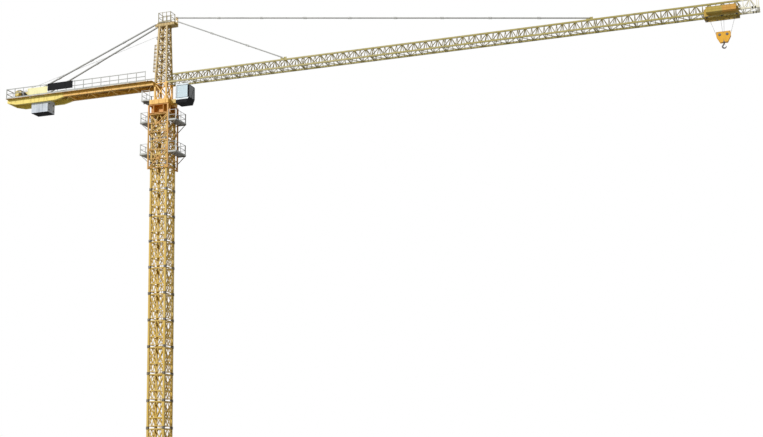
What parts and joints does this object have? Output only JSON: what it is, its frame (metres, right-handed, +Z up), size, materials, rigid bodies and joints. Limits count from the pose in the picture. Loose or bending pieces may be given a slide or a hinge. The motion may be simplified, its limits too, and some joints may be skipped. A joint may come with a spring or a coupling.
{
  "type": "tower crane scale model",
  "caption": "Hammerhead tower crane at half size: lattice mast with climbing cage, slewing jib and counter-jib held by tie bars, cab, trolley and hook block.",
  "frame": {"origin": "on the mast axis at ground level, on the flat underside of the cross base", "axes": "+Z up along the mast, +X along the jib towards its tip, counter-jib along -X, +Y to the far side of the picture"},
  "size_m": [36.57, 1.46, 24.2409],
  "materials": {
    "mast_yellow": "weathered gloss paint",
    "jib_yellow": "weathered paint",
    "orange_yellow": "gloss paint",
    "grey_paint": "galvanised and painted",
    "dark_steel": "oiled",
    "rope_steel": "stranded wire",
    "hook_iron": "forged",
    "concrete": "cast concrete",
    "black_paint": "satin",
    "cab_white": "gloss paint",
    "cab_glass": "clear"
  },
  "bodies": {
    "mast": {"cross_base": "mast_yellow", "mast_sections_odd": "mast_yellow", "mast_sections_even": "mast_yellow", "climbing_cage": "mast_yellow", "cage_walkways": "grey_paint", "cage_railings": "grey_paint", "lower_slewing_support": "mast_yellow", "slewing_ring_lower": "dark_steel"},
    "upperworks": {"slewing_ring_upper": "dark_steel", "upper_slewing_support": "mast_yellow", "slewing_balcony": "mast_yellow", "balcony_railing": "grey_paint", "slewing_column": "mast_yellow", "tower_head": "mast_yellow", "head_cap": "mast_yellow", "head_sheave": "dark_steel", "head_platform": "mast_yellow", "head_railing": "grey_paint", "jib_sections_odd": "jib_yellow", "jib_sections_even": "jib_yellow", "jib_end_frame": "jib_yellow", "outer_jib_tie": "grey_paint", "inner_jib_tie": "grey_paint", "counter_jib_beams": "orange_yellow", "counter_jib_cross_beams": "orange_yellow", "counter_jib_deck": "orange_yellow", "counter_jib_railings": "grey_paint", "bare_board": "black_paint", "counterweights": "concrete", "counter_jib_ties": "grey_paint", "hoist_winch": "orange_yellow", "hoist_drum": "dark_steel", "cab_body": "cab_white", "cab_windows": "cab_glass", "cab_beams": "mast_yellow", "jib_rope": "rope_steel", "winch_rope": "rope_steel"},
    "trolley": {"trolley_frame": "orange_yellow", "trolley_wheels": "dark_steel", "trolley_sheaves": "dark_steel", "trolley_basket": "orange_yellow", "hoist_falls": "rope_steel"},
    "hook_block": {"hook_block": "orange_yellow", "block_sheaves": "dark_steel"},
    "hook": {"hook": "hook_iron"}
  },
  "joints": [
    {"name": "slew", "type": "hinge", "parent": "mast", "child": "upperworks", "pos_m": [0, 0, 19.49], "axis": [0, 0, 1], "continuous": true},
    {"name": "trolley_travel", "type": "slide", "parent": "upperworks", "child": "trolley", "axis": [1, 0, 0], "range_m": [-24, 0.5]},
    {"name": "hook_hoist", "type": "slide", "parent": "trolley", "child": "hook_block", "axis": [0, 0, -1], "range_m": [0, 18.15], "deforming": ["hoist_falls"]},
    {"name": "hook_swivel", "type": "hinge", "parent": "hook_block", "child": "hook", "pos_m": [26.5, 0, 19.25], "axis": [0, 0, 1], "continuous": true}
  ]
}
